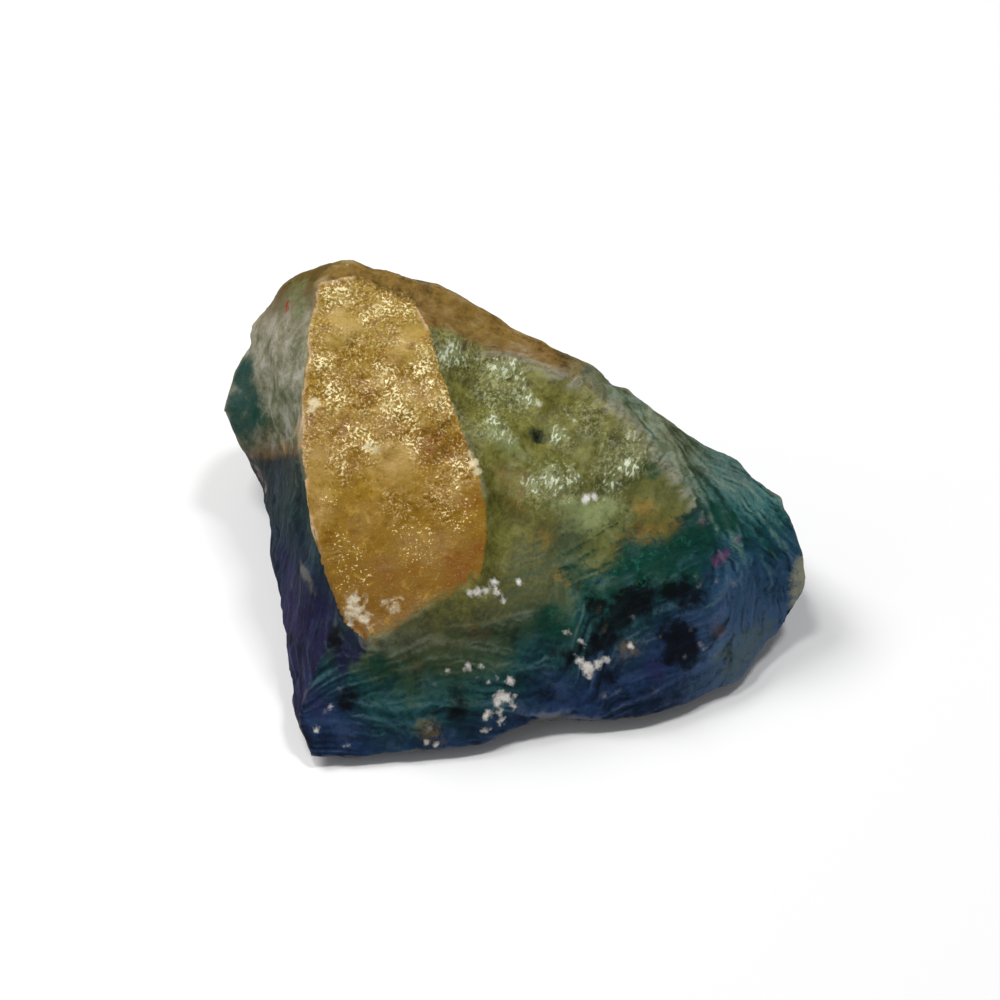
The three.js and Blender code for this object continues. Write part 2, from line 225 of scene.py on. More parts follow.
# Nearer the tip: steel blue, navy, petrol and grey green.
RIGHT_ZONES = [(-9, "48607c"), (-5, "2c4c6a"), (-2, "1e4460"), (0, "104448"), (2, "3c6c6c"), (6, "6a7c70")]
DUST = [(-8, "4e5a80"), (-4, "54668a"), (-1, "567880"), (1, "6e8c80"), (3.5, "90a08c"), (8, "a09e88")]
GAPS = [(-3, "05090d"), (-0.5, "04201c"), (2, "1c3418")]
BROWNS = [(0.3, "5a4420"), (0.42, "705426"), (0.52, "826636"), (0.62, "947a4c"), (0.75, "a49070")]
SLOPES = [(0.3, "455038"), (0.45, "5c664a"), (0.55, "6c7a62"), (0.7, "7f9084")]
MARBLES = [(0.3, "3e5034"), (0.42, "686c4e"), (0.52, "918d78"), (0.62, "b6b2a4"), (0.74, "c4c0b6")]
# By the distance up the camera's view, in millimetres. The flank is navy, violet and slate, and almost black
# under the left lump, which is tan at its foot, then grey green, pale grey and brown at its crest.
LEFT_ZONES = [
    (-16, "121a36"), (-3, "1e1a3e"), (6, "162a30"), (11.8, "2a302e"), (12.4, "604c30"), (16, "4a5838"),
    (23, "8a846e"), (29, "5c4818"),
]
HONEYS = [(-6, "704a12"), (10, "92701e"), (26, "a68c30")]  # amber, honey, gold
# By noise.
OLIVES = [(0.28, "3e3c14"), (0.42, "5f5c24"), (0.54, "777434"), (0.66, "8a884c"), (0.76, "96965e")]
# Painted light and shade of the foil's crinkles: dark valleys up to pale crests.
PAINTED_FOIL_LIGHT = [(0.32, "4c2c04"), (0.42, "7c520c"), (0.50, "a0761c"), (0.58, "bc9440"), (0.68, "d6b878")]
SPECKS = [(0.34, "24280a"), (0.44, "4c501a"), (0.54, "727438"), (0.62, "989e66"), (0.68, "bcc498")]
CELL = 0.27  # size of the foil's cells, in millimetres
FLUORITE_IOR = 1.434
# Patches of other minerals, and of painted shade and painted glow, as (mark, colour, share, softness in
# millimetres).
RAGGED_PATCHES = [
    ("moss", "76875c", 0.6, 0.9), ("shade", "343826", 0.75, 1.0), ("painted_hollow_shade", "3c3c12", 0.6, 0.7),
    ("tan", "8c7032", 0.75, 1.0), ("rust", "6a441c", 0.5, 0.8), ("rose", "8f7c7a", 0.8, 0.5),
]
SOLID_PATCHES = [
    ("lagoon", "143f3a", 0.9, 1.3), ("violet", "262450", 0.6, 1.0), ("teal", "063c2e", 0.85, 0.9),
    ("sage", "98a26c", 0.6, 1.1), ("black", "030307", 0.9, 0.7), ("haze", "4c5c5a", 0.6, 0.7),
]
SMOOTH_PATCHES = [
    ("painted_edge_glow", "90907c", 0.9, 0.5), ("peach", "b08458", 0.75, 0.4), ("red", "8c2c14", 0.85, 0.12),
    ("pink", "8c4a7c", 0.4, 0.25),
]


def linked(name, data):
    """A new object in the scene."""
    thing = bpy.data.objects.new(name, data)
    bpy.context.scene.collection.objects.link(thing)
    return thing


# ---- geometry ----

def welded(piece):
    """A CAD node's corners, in millimetres, and its triangles, with shared corners joined."""
    mesh = piece.data
    mesh.calc_loop_triangles()
    places = np.array([corner.co for corner in mesh.vertices])
    corners = np.array([tuple(face.vertices) for face in mesh.loop_triangles])
    points, joined = np.unique(np.round(places / MM, 4), axis=0, return_inverse=True)
    return points, joined.reshape(-1)[corners]


def face_normals(points, faces):
    """Each triangle's normal, as long as twice its area."""
    a, b, c = (points[faces[:, k]] for k in range(3))
    return np.cross(b - a, c - a)


def unit(vectors):
    return vectors / norm(vectors, axis=1, keepdims=True)


def point_normals(points, faces):
    normals = np.zeros_like(points)
    for k in range(3):
        np.add.at(normals, faces[:, k], face_normals(points, faces))
    return unit(normals)


def edges_of(faces):
    """The edges as pairs of points, and the three edges of each triangle."""
    pairs = np.sort(np.stack([faces, np.roll(faces, -1, axis=1)], axis=2).reshape(-1, 2), axis=1)
    edges, places = np.unique(pairs, axis=0, return_inverse=True)
    return edges, places.reshape(-1, 3)


def sharp_edges(points, faces):
    """True for each edge where the solid bends by more than SHARP."""
    edges, of_face = edges_of(faces)
    normals = unit(face_normals(points, faces))
    total = np.zeros((len(edges), 3))
    for k in range(3):
        np.add.at(total, of_face[:, k], normals)
    # Two unit normals at an angle add up to twice the cosine of half of it.
    return norm(total, axis=1) < 2 * math.cos(SHARP / 2)


def split(points, faces, sharp):
    """One step of Loop's subdivision, which leaves sharp edges sharp. Returns points, triangles and which
    edges are sharp."""
    edges, of_face = edges_of(faces)
    first, second = points[edges[:, 0]], points[edges[:, 1]]
    across = np.zeros_like(first)
    for k in range(3):
        np.add.at(across, of_face[:, k], points[faces[:, (k + 2) % 3]])
    middles = np.where(sharp[:, None], (first + second) / 2, (first + second) * 3 / 8 + across / 8)
    moved = smoothed(points, edges, sharp)
    middle_of = of_face + len(points)
    a, b, c = faces.T
    ab, bc, ca = middle_of.T
    pieces = [(a, ab, ca), (ab, b, bc), (ca, bc, c), (ab, bc, ca)]
    finer = np.concatenate([np.stack(p, axis=1) for p in pieces])
    finer_edges, _ = edges_of(finer)
    # Half of a sharp edge is sharp too: it joins the edge's middle to one of its ends.
    is_half = (finer_edges[:, 0] < len(points)) & (finer_edges[:, 1] >= len(points))
    parent = np.clip(finer_edges[:, 1] - len(points), 0, None)
    on_parent = (edges[parent] == finer_edges[:, :1]).any(axis=1)
    return np.concatenate([moved, middles]), finer, is_half & on_parent & sharp[parent]


def neighbours(places, edges):
    """The sum of each point's neighbours along these edges, and their number."""
    total, count = np.zeros_like(places), np.zeros(len(places))
    for near, far in (edges.T, edges[:, ::-1].T):
        np.add.at(total, near, places[far])
        np.add.at(count, near, 1)
    return total, count


def smoothed(points, edges, sharp):
    """Loop's new places for the old points. Corners where sharp lines meet are kept."""
    total, count = neighbours(points, edges)
    lines, ends = neighbours(points, edges[sharp])
    weight = np.where(count > 3, 3 / (8 * count), 3 / 16)[:, None]
    free = points * (1 - weight * count[:, None]) + total * weight
    on_line = points * 3 / 4 + lines / 8
    kept = np.where((ends == 2)[:, None], on_line, points)
    return np.where((ends == 0)[:, None], free, kept)


def step(value, low, high):
    """0 below low, 1 above high and a smooth change between them."""
    share = np.clip((value - low) / (high - low), 0, 1)
    return share * share * (3 - 2 * share)


def lumps(points, size, seed=0):
    """Smooth noise between about -1 and 1, with lumps of the given size in millimetres."""
    offset = np.array([seed * 17.3, seed * 5.9 + 3.1, seed * 11.7 + 7.7])
    return np.array([noise.noise(p) for p in (points / size + offset).tolist()])


def facets(points, centres, rng):
    """Height of a surface of small tilted faces, one round each centre."""
    tilts = rng.normal(0, FACET_TILT, centres.shape)
    height = np.zeros(len(points))
    total = np.zeros(len(points))
    away = norm(points[:, None] - centres[None], axis=2)
    nearest = away.min(axis=1)
    for k, (centre, tilt) in enumerate(zip(centres, tilts)):
        weight = np.exp((nearest - away[:, k]) / FACET_EDGE)
        height += weight * ((points - centre) @ tilt)
        total += weight
    return height / total


def inside_window(points):
    """Distance inside the rim of the honey-coloured break, in millimetres, negative outside it, and which of
    the rim's stretches is nearest."""
    middle = WINDOW.mean(axis=0)
    _, _, axes = np.linalg.svd(WINDOW - middle)
    flat = (points - middle) @ axes.T
    rim = (WINDOW - middle) @ axes.T
    nearest = np.full(len(points), np.inf)
    stretch = np.zeros(len(points), int)
    inside = np.zeros(len(points), bool)
    for index, (start, end) in enumerate(zip(rim, np.roll(rim, -1, axis=0))):
        along = end - start
        share = np.clip(((flat - start)[:, :2] @ along[:2]) / (along[:2] @ along[:2]), 0, 1)
        foot = start + share[:, None] * along
        apart = norm(flat - foot, axis=1)
        stretch[apart < nearest] = index
        nearest = np.minimum(nearest, apart)
        crosses = (start[1] > flat[:, 1]) != (end[1] > flat[:, 1])
        rise = np.where(along[1] == 0, 1, along[1])
        cut = start[0] + along[0] * (flat[:, 1] - start[1]) / rise
        inside ^= crosses & (flat[:, 0] < cut)
    inside &= np.abs(flat[:, 2]) < WINDOW_DEPTH
    wobble = lumps(points, 2.6, 31) * 0.45 + lumps(points, 1.0, 32) * 0.2
    return np.where(inside, nearest, -nearest) + wobble, stretch


def above_change(points):
    """Millimetres above the level where the green crystal turns blue."""
    apart = norm(points[:, None, :2] - CHANGES[None, :, :2], axis=2)
    weight = 1 / (apart + 0.5) ** 3
    return points[:, 2] - (weight * CHANGES[:, 2]).sum(axis=1) / weight.sum(axis=1)


def beside_shoulder(points, line):
    """Seen in plan and in millimetres: how far each point is behind the shoulder's line, negative in front of
    it, how far along that line, and the line's length."""
    flat = points[:, :2]
    nearest = np.full(len(points), np.inf)
    behind = np.zeros(len(points))
    reached = np.zeros(len(points))
    done = 0.0
    for start, end in zip(line, line[1:]):
        along = end - start
        length = norm(along)
        share = np.clip(((flat - start) @ along) / (along @ along), 0, 1)
        away = flat - (start + share[:, None] * along)
        apart = norm(away, axis=1)
        side = np.sign(along[0] * away[:, 1] - along[1] * away[:, 0])
        closer = apart < nearest - TIE
        behind = np.where(closer, side * apart, behind)
        reached = np.where(closer, done + share * length, reached)
        nearest = np.minimum(nearest, apart)
        done += length
    return behind, reached, done


def seen_at(tree, x, y):
    """The point of the stone that the camera sees at a pixel."""
    per_pixel = FRAME_WIDTH / IMAGE
    aim = LOOK * DISTANCE + RIGHT * (x - IMAGE / 2) * per_pixel + UP * (IMAGE / 2 - y) * per_pixel
    eye = TARGET - LOOK * DISTANCE
    place, _, _, _ = tree.ray_cast(Vector(eye), Vector(aim).normalized())
    return place


def pale_line(points, line):
    """1 on the shoulder's pale line and 0 away from it, fading at both of its ends."""
    behind, reached, length = beside_shoulder(points, line)
    ends = step(reached, 0, 4) * (1 - step(reached, length - 7, length - 2))
    return np.exp(-(behind / LINE_WIDTH) ** 2) * ends


def shoulder_line(tree):
    """The shoulder's line in plan."""
    places = [seen_at(tree, x, y) for x, y in SHOULDER]
    return np.array([place for place in places if place is not None])[:, :2]


def seen_marks(points, tree, marks):
    """For each mark that the camera sees: how far all the points are from it, and its further values."""
    for x, y, *values in marks:
        place = seen_at(tree, x, y)
        if place is not None:
            yield norm(points - np.array(place), axis=1), *values


def knobs(points, tree):
    """Height of the knobs and hollows at each point."""
    height = np.zeros(len(points))
    for apart, radius, rise in seen_marks(points, tree, KNOBS):
        height += rise * np.exp(-(apart / radius) ** 2)
    return height


def near_marks(points, tree, marks):
    """How far each point lies inside the nearest of the marks, in millimetres, negative outside."""
    depth = np.full(len(points), NO_MARK)
    for apart, radius in seen_marks(points, tree, marks):
        depth = np.maximum(depth, radius - apart)
    return depth


def bulge(points, faces):
    """How far each point stands out from its surroundings, in millimetres, negative in hollows."""
    edges, _ = edges_of(faces)
    mean = points.copy()
    for _ in range(BULGE_STEPS):
        total, count = neighbours(mean, edges)
        mean = total / count[:, None]
    return ((points - mean) * point_normals(points, faces)).sum(axis=1)


def streak_flow(points, faces, behind):
    """The direction along the surface in which the streaks run at each point: level in front, rising to the
    right, down the left side, along the ridge, and fanning out down the right end."""
    normals = point_normals(points, faces)
    x, rise = points[:, 0], points @ UP
    fan = SHOULDER_TURN + (RIDGE_TURN - SHOULDER_TURN) * step(behind, 1, 6)
    fan = TIP_TURN + (fan - TIP_TURN) * step(rise, -4, 9)
    turn = FRONT_TURN + (RISING_TURN - FRONT_TURN) * step(x, 1, 9)
    at_right = np.maximum(step(x, 17, 23), step(behind, -1, 1) * step(x, 3, 8))
    turn += (fan - turn) * at_right
    turn += (TOP_TURN - turn) * step(behind, -1, 1) * (1 - step(x, 3, 8))
    turn += (LEFT_TURN - turn) * step(-normals[:, 0], 0.3, 0.7)
    turn += lumps(points, 7.0, 11) * 26 + lumps(points, 2.6, 12) * 14
    turn = np.radians(turn)[:, None]
    seen = np.sin(turn) * RIGHT - np.cos(turn) * UP
    # Moved along the camera's view onto the surface, and laid flat on it.
    facing = np.minimum(normals @ LOOK, -0.25)[:, None]
    flow = seen - LOOK * (seen * normals).sum(axis=1, keepdims=True) / facing
    flow -= normals * (flow * normals).sum(axis=1, keepdims=True)
    return unit(flow)


def streaks(points, faces, flow, value):
    """Noise drawn out along the flow to both sides, as a value round 0 at each point."""
    edges, _ = edges_of(faces)
    here, there = np.concatenate([edges, edges[:, ::-1]]).T
    way = unit(points[there] - points[here])
    total = value.copy()
    for sense in (1, -1):
        weight = np.maximum(sense * (way * flow[here]).sum(axis=1), 0) ** 6
        weight /= np.maximum(np.bincount(here, weight, len(points)), 1e-9)[here]
        carried = value
        for _ in range(STREAK_STEPS):
            carried = np.bincount(here, weight * carried[there], len(points))
            total += carried
    # Sharpened against the mean of each point's neighbours.
    total += SHARPENING * (total - np.bincount(here, total[there], len(points)) / np.bincount(here))
    return (total - total.mean()) / total.std()


def fibres(points, faces, behind, rng):
    """Fine streaks on broad ones."""
    flow = streak_flow(points, faces, behind)
    grain = rng.normal(0, 1, len(points)) + 0.3 * lumps(points, 0.7, 14)
    fine = streaks(points, faces, flow, grain)
    broad = streaks(points, faces, flow, lumps(points, 1.6, 13))
    # The marbled top of the left side is almost without them.
    marbled = step(-point_normals(points, faces)[:, 0], 0.15, 0.45) * step(points @ UP, 9, 14)
    return (fine + 0.2 * broad) * (1 - 0.75 * marbled)


def ribs(points):
    """Noise drawn out along the green break's ribs."""
    flow = RIB_FLOW / norm(RIB_FLOW)
    along = (points @ flow)[:, None] * flow
    return lumps((points - along) / 0.8 + along / 4.0, 1.0, 21)


def broken_surface(points, faces, tree, behind, fibre, rng):
    """The points, moved along their normals into swells, facets, hackle, fibres and grain."""
    normals = point_normals(points, faces)
    rim, _ = inside_window(points)
    window = step(rim, -0.2, 0.6)
    steep = 1 - step(normals[:, 2], 0.35, 0.75)
    past_shoulder = step(behind, 0, 2)
    unseen = step(normals[:, 1], 0.2, 0.6)
    hackle = step(near_marks(points, tree, MARKS["hackle"]), -1.5, 1.0)
    green = (1 - window) * (1 - steep) * (1 - past_shoulder)
    centres = points[rng.choice(len(points), FACETS, replace=False)]
    rough = facets(points, centres, rng)
    grain = lumps(points, 1.5, 1) * 0.5 + lumps(points, 0.8, 2) * 0.3
    bent = points + np.stack([lumps(points, 1.8, seed) for seed in (3, 4, 5)], axis=1) * 0.6
    wrinkles = 0.6 - 2 * np.abs(lumps(bent, 1.5, 6)) - 1.0 * np.abs(lumps(bent, 0.8, 7))
    height = rough * (0.15 + 0.1 * steep + 0.75 * unseen) * (1 - 0.6 * window)
    height += lumps(points, 4.2, 5) * 0.25 * (1 - 0.3 * window)
    height += lumps(bent, 3.2, 9) * 0.35 * np.maximum(window, green) * (0.3 + 0.7 * hackle)
    height += knobs(points, tree)
    height += ribs(points) * 0.16 * green * step(points[:, 0], 0, 5)
    height += grain * (0.06 + 0.12 * steep + 0.06 * unseen) * (1 - 0.5 * window)
    height += fibre * 0.022 * np.maximum(steep, past_shoulder) * (1 - window)
    height += wrinkles * (0.02 + 0.2 * hackle) * (1 - steep) * (1 - 0.7 * past_shoulder)
    height -= 0.25 * step(lumps(points, 2.3, 8), 0.42, 0.7) * steep
    at_edge = np.exp(-(rim / 0.4) ** 2)
    height *= 1 - 0.5 * at_edge
    fade = step(points[:, 2], 0, FLAT_BLEND)
    moved = points + normals * (height * fade)[:, None]
    moved[:, 2] = np.maximum(moved[:, 2], 0)
    return moved


def unfolded(points, faces):
    """A place on the map for each corner of each triangle: the surface as seen from the middle through the
    six sides of a box, which never folds over itself."""
    corners = ((points - MIDDLE) / MAP_BOX)[faces]
    seen = corners.mean(axis=1)
    axis = np.abs(seen).argmax(axis=1)
    is_low = np.take_along_axis(seen, axis[:, None], axis=1)[:, 0] < 0
    chart = np.zeros((len(faces), 3, 2))
    for (side, low_side), (left, low, width, height) in MAP_SIDES.items():
        chosen = (axis == side) & (is_low == low_side)
        flat = np.delete(corners[chosen], side, axis=2) / np.abs(corners[chosen][:, :, [side]])
        share = 0.5 + 0.5 * (1 - MAP_MARGIN) * flat
        chart[chosen] = np.array([left, low]) + share * np.array([width, height])
    return chart


def stored_values(points, faces, line, behind, fibre):
    """What the material reads at each point."""
    tree = BVHTree.FromPolygons(points.tolist(), faces.tolist())
    normals = point_normals(points, faces)
    rim, stretch = inside_window(points)
    at_left = stretch >= LEFT_STRETCH
    is_soft = (stretch >= SOFT_STRETCH) & ~at_left | np.isin(stretch, SOFT_TOP)
    at_right = (stretch >= RIGHT_STRETCH) & (stretch < SOFT_STRETCH)
    to_back = normals[:, 1] - normals[:, 2]
    values = {name: near_marks(points, tree, places) for name, places in MARKS.items()}
    values.update({
        "rim": rim,
        "painted_rim_highlight": np.exp(-(rim / RIM_HIGHLIGHT_WIDTH) ** 2) * np.isin(stretch, PAINTED_HIGHLIGHT_STRETCHES),
        "soft_rim": step(rim, -4, 0) * is_soft,
        "window_left": step(rim, -3.0, -0.2) * at_left,
        "window_right": step(rim, -2.6, -0.2) * at_right,
        "change": above_change(points),
        "fibre": fibre,
        "behind": behind,
        "line": pale_line(points, line),
        "along": points[:, 0],
        "ridge": bulge(points, faces),
        "steep": 1 - step(normals[:, 2], 0.3, 0.7),
        "on_left": step(-normals[:, 0], 0.15, 0.45),
        # Painted shade on faces that turn back or down, less where they face fully back.
        "painted_back_shade": step(to_back, -0.35, -0.05) * (1 - 0.6 * step(to_back, 0.1, 0.5)),
    })
    return values


def make_stone(node):
    """The stone as one fine mesh, with what its material reads stored at each point."""
    points, faces = welded(node)
    sharp = sharp_edges(points, faces)
    for _ in range(SPLITS):
        points, faces, sharp = split(points, faces, sharp)
    points[:, 2] = np.maximum(points[:, 2], 0)
    rng = np.random.default_rng(SEED)
    tree = BVHTree.FromPolygons(points.tolist(), faces.tolist())
    line = shoulder_line(tree)
    behind, _, _ = beside_shoulder(points, line)
    fibre = fibres(points, faces, behind, rng)
    points = broken_surface(points, faces, tree, behind, fibre, rng)
    mesh = bpy.data.meshes.new("fluorite_stone")
    mesh.from_pydata((points * MM).tolist(), [], faces.tolist())
    mesh.polygons.foreach_set("use_smooth", np.ones(len(faces), bool))
    for name, value in stored_values(points, faces, line, behind, fibre).items():
        stored = mesh.attributes.new(name, "FLOAT", "POINT")
        stored.data.foreach_set("value", value.astype(np.float32))
    chart = mesh.uv_layers.new(name="OFBake")
    chart.data.foreach_set("uv", unfolded(points, faces).astype(np.float32).reshape(-1))
    return linked("fluorite_stone", mesh)


# ---- material ----

def colour(code):
    """A colour written as rrggbb, as the shader's own linear values."""
    parts = [int(code[k:k + 2], 16) / 255 for k in (0, 2, 4)]
    return (*(p / 12.92 if p <= 0.04045 else ((p + 0.055) / 1.055) ** 2.4 for p in parts), 1)


class Shader:
    """Adds nodes to a material. An input may be a number, a colour or another node's output."""

    def __init__(self, name):
        self.material = bpy.data.materials.new(name)
        self.material.use_nodes = True
        self.tree = self.material.node_tree
        self.tree.nodes.clear()

    def surface(self, inputs):
        """The finished material, with this surface."""
        surface = self.add("BsdfPrincipled", inputs)
        self.add("OutputMaterial", {"Surface": surface.outputs[0]})
        return self.material

    def put(self, socket, value):
        if isinstance(value, bpy.types.NodeSocket):
            self.tree.links.new(value, socket)
        else:
            socket.default_value = value

    def add(self, kind, inputs, **settings):
        node = self.tree.nodes.new("ShaderNode" + kind)
        for name, value in settings.items():
            setattr(node, name, value)
        for name, value in inputs.items():
            self.put(node.inputs[name], value)
        return node

    def stored(self, name, *offsets):
        """A value stored at the mesh's points, plus these offsets."""
        return self.plus(self.add("Attribute", {}, attribute_name=name).outputs["Fac"], *offsets)

    def calc(self, operation, first, *others):
        """One operation on the first value and each of the others in turn."""
        for other in others:
            node = self.add("Math", {0: first, 1: other}, operation=operation)
            first = node.outputs[0]
        return first

    def vector(self, operation, inputs, output="Vector"):
        return self.add("VectorMath", inputs, operation=operation).outputs[output]

    def times(self, *values):
        return self.calc("MULTIPLY", *values)

    def plus(self, *values):
        return self.calc("ADD", *values)

    def most(self, *values):
        return self.calc("MAXIMUM", *values)

    def rest(self, share):
        """What is left of 1."""
        return self.calc("SUBTRACT", 1.0, share)

    def between(self, value, low, high, start=0.0, end=1.0, kind="SMOOTHSTEP"):
        """start below low, end above high and a smooth change between them."""
        inputs = {"Value": value, "From Min": low, "From Max": high, "To Min": start, "To Max": end}
        return self.add("MapRange", inputs, interpolation_type=kind).outputs[0]

    def fade(self, share, start, end):
        """start where share is 0, end where it is 1."""
        return self.between(share, 0.0, 1.0, start, end)

    def band(self, value, low, full, until, high):
        """1 from full to until, and 0 below low and above high."""
        return self.times(self.between(value, low, full), self.between(value, high, until))

    def mix(self, share, a, b):
        node = self.add("Mix", {}, data_type="RGBA")
        for place, value in ((0, share), (6, a), (7, b)):
            self.put(node.inputs[place], value)
        return node.outputs[2]

    def layers(self, tint, *layers):
        """Lays colours over a tint. Each layer is an rrggbb code and the factors of its share."""
        for code, *factors in layers:
            tint = self.mix(self.times(*factors), tint, colour(code))
        return tint

    def moved(self, here, **changes):
        return self.add("Mapping", {"Vector": here, **changes}).outputs[0]

    def noise(self, here, size, detail=2.0, roughness=0.5, distortion=0.0):
        """Noise from 0 to 1 with lumps of the given size in millimetres."""
        inputs = {"Vector": here, "Scale": 1 / size, "Detail": detail}
        inputs.update({"Roughness": roughness, "Distortion": distortion})
        return self.add("TexNoise", inputs).outputs[0]

    def scatter(self, value, reach):
        """A value round 0.5 as an offset round 0."""
        return self.times(self.calc("SUBTRACT", value, 0.5), reach)

    def swayed(self, here, size, reach):
        """Places moved about smoothly, by up to about reach, over the given size in millimetres."""
        noises = {"Vector": here, "Scale": 1 / size, "Detail": 1.0}
        sway = self.add("TexNoise", noises).outputs["Color"]
        sway = self.vector("SUBTRACT", {0: sway, 1: (0.5, 0.5, 0.5)})
        return self.vector("ADD", {0: here, 1: self.vector("SCALE", {0: sway, "Scale": 2 * reach})})

    def drawn(self, here, flow, stretch):
        """Places on which noise is drawn out along a direction."""
        turn = Vector(flow).rotation_difference(Vector((1, 0, 0))).to_euler()
        return self.moved(self.moved(here, Rotation=turn), Scale=(stretch, 1, 1))

    def ramp(self, value, stops):
        """A colour for each value, from (value, rrggbb) stops."""
        low, high = stops[0][0], stops[-1][0]
        node = self.add("ValToRGB", {"Fac": self.between(value, low, high, kind="LINEAR")})
        band = node.color_ramp
        while len(band.elements) < len(stops):
            band.elements.new(1)
        for element, (place, code) in zip(band.elements, stops):
            element.position = (place - low) / (high - low)
            element.color = colour(code)
        return node.outputs[0]


class Fluorite(Shader):
    """The stone's one material."""

    def __init__(self):
        super().__init__("fluorite")
        places = self.add("TexCoord", {}).outputs["Object"]
        here = self.here = self.moved(places, Scale=(1 / MM, 1 / MM, 1 / MM))
        self.middling = self.noise(here, 1.6, 5, 0.6, 0.4)
        self.fine = self.noise(here, 0.5, 4, 0.7, 0.3)
        self.cells = self.noise(here, CELL, 2, 0.55, 0.8)
        self.ragged = self.plus(self.scatter(self.middling, 4), self.scatter(self.fine, 2))
        self.torn = self.scatter(self.fine, 1.6)
        self.patchy = self.between(self.noise(here, 1, 5, 0.7, 0.6), 0.4, 0.62, 0.35, 1)
        self.rise = self.vector("DOT_PRODUCT", {0: here, 1: tuple(UP)}, "Value")
        self.steep = self.stored("steep")
        self.on_left = self.stored("on_left")
        self.past_shoulder = self.between(self.stored("behind", self.torn), -0.3, 0.5)
        self.along = self.stored("along", self.ragged)
        self.strand = self.stored("fibre", self.scatter(self.fine, 2))
        self.cloud = self.noise(here, 2.2, 4, 0.65)
        broad = self.scatter(self.noise(here, 4, 4, 0.6), 6)
        self.level = self.stored("change", broad, self.times(self.strand, 0.45), self.torn)
        low = self.between(self.level, 3, 0.5)
        self.side = self.most(self.steep, self.past_shoulder, self.on_left, low)
        self.near_tip = self.between(self.along, 14, 21)
        self.window = self.window_share()
        self.outside = self.rest(self.window)
        self.dust = self.ramp(self.level, DUST)

    def mark(self, name, ragged, soft=0.25):
        """The share of a mark's tint at a point, with a ragged edge."""
        return self.between(self.stored(name, ragged), -soft, soft)

    def window_share(self):
        """1 inside the honey-coloured break and 0 outside, fading where its rim is soft."""
        soft_rim = self.stored("soft_rim")
        edge = self.stored("rim", self.times(self.torn, self.fade(soft_rim, 0.35, 2.5)))
        faded = self.fade(soft_rim, 0.08, 0.7)
        return self.between(edge, self.times(faded, -1), faded)

    def sides(self):
        """The sides' growth zones, with dust and clouds on them."""
        browned = self.times(self.past_shoulder, self.between(self.along, 10, 3))
        browned = self.times(browned, self.between(self.level, 4, 8))
        sloped = self.times(self.past_shoulder, self.band(self.along, 4, 10, 14, 20))
        marbled = self.times(self.on_left, self.band(self.rise, 12, 14, 24, 28))
        zones = [
            (self.near_tip, self.level, RIGHT_ZONES),
            (browned, self.plus(self.cloud, self.times(self.strand, 0.03)), BROWNS),
            (self.times(sloped, self.between(self.level, 0, 2)), self.middling, SLOPES),
            (self.on_left, self.plus(self.rise, self.scatter(self.middling, 2)), LEFT_ZONES),
            (self.times(marbled, 0.6), self.cloud, MARBLES),
        ]
        tint = self.ramp(self.level, FRONT_ZONES)
        for share, value, stops in zones:
            tint = self.mix(share, tint, self.ramp(value, stops))
        return self.clouded(self.dusted(tint))

    def dusted(self, tint):
        """Dust on the strands of the sides, and dark gaps between them."""
        dusty = self.times(self.side, self.between(self.level, 13, 7, 0.15, 1))
        at_right = self.most(self.past_shoulder, self.near_tip)
        strands = self.times(self.between(self.strand, -0.3, 2.8), dusty, self.fade(at_right, 0.55, 0.65))
        strands = self.times(strands, self.fade(self.on_left, 1, 0.45))
        gaps = self.times(self.between(self.strand, 0.2, -2.2), dusty, self.fade(at_right, 0.6, 0.75))
        return self.mix(gaps, self.mix(strands, tint, self.dust), self.ramp(self.level, GAPS))

    def clouded(self, tint):
        """Broad darker and dustier clouds on the sides."""
        calm = self.times(self.side, self.rest(self.times(self.on_left, 0.6)))
        tint = self.layers(tint, ("060a0e", self.between(self.cloud, 0.48, 0.3), calm, 0.5))
        return self.mix(self.times(self.between(self.cloud, 0.52, 0.7), calm, 0.2), tint, self.dust)

    def green_break(self, tint):
        """The olive break, its darker borders and the pale line behind it."""
        olive = self.ramp(self.noise(self.here, 1.8, 4, 0.68, 0.6), OLIVES)
        olive = self.mix(self.times(self.hackle, 0.55), olive, self.ramp(self.cells, SPECKS))
        in_front = self.rest(self.past_shoulder)
        share = self.times(self.between(self.level, 4, 7), self.between(self.steep, 0.2, 0.9, 1, 0))
        share = self.times(share, in_front, self.rest(self.on_left))
        low = self.times(self.band(self.along, 5, 10, 16, 20), self.between(self.level, 0.3, 2.2))
        low = self.times(low, in_front, 0.8)
        dull = self.times(self.most(self.times(share, 0.5), low), self.between(self.level, 10, 6))
        return self.layers(
            self.mix(self.most(share, low), tint, olive),
            ("52582e", dull, 0.75),
            ("34320e", self.stored("window_right"), self.patchy, 0.5),
            ("1c342c", self.stored("window_left"), self.between(self.rise, 14, 10), self.patchy, 0.6),
            ("989888", self.stored("line"), self.between(self.strand, -0.8, 1, 0.1, 1), 0.72),
        )

    def patches(self, tint):
        """Patches of other minerals, and of painted shade, painted glow and painted cyan glints."""
        kinds = [
            (RAGGED_PATCHES, self.ragged, self.patchy), (SOLID_PATCHES, self.ragged, 1),
            (SMOOTH_PATCHES, self.torn, 1),
        ]
        for listed, edge, broken in kinds:
            for name, code, share, soft in listed:
                tint = self.layers(tint, (code, self.mark(name, edge, soft), broken, share))
        # Cyan specks on the teal patches, painted as glints.
        painted_cyan_glints = self.between(self.fine, 0.5, 0.62)
        return self.layers(tint, ("24705c", self.mark("cyan", self.ragged, 0.6), painted_cyan_glints, 0.55))

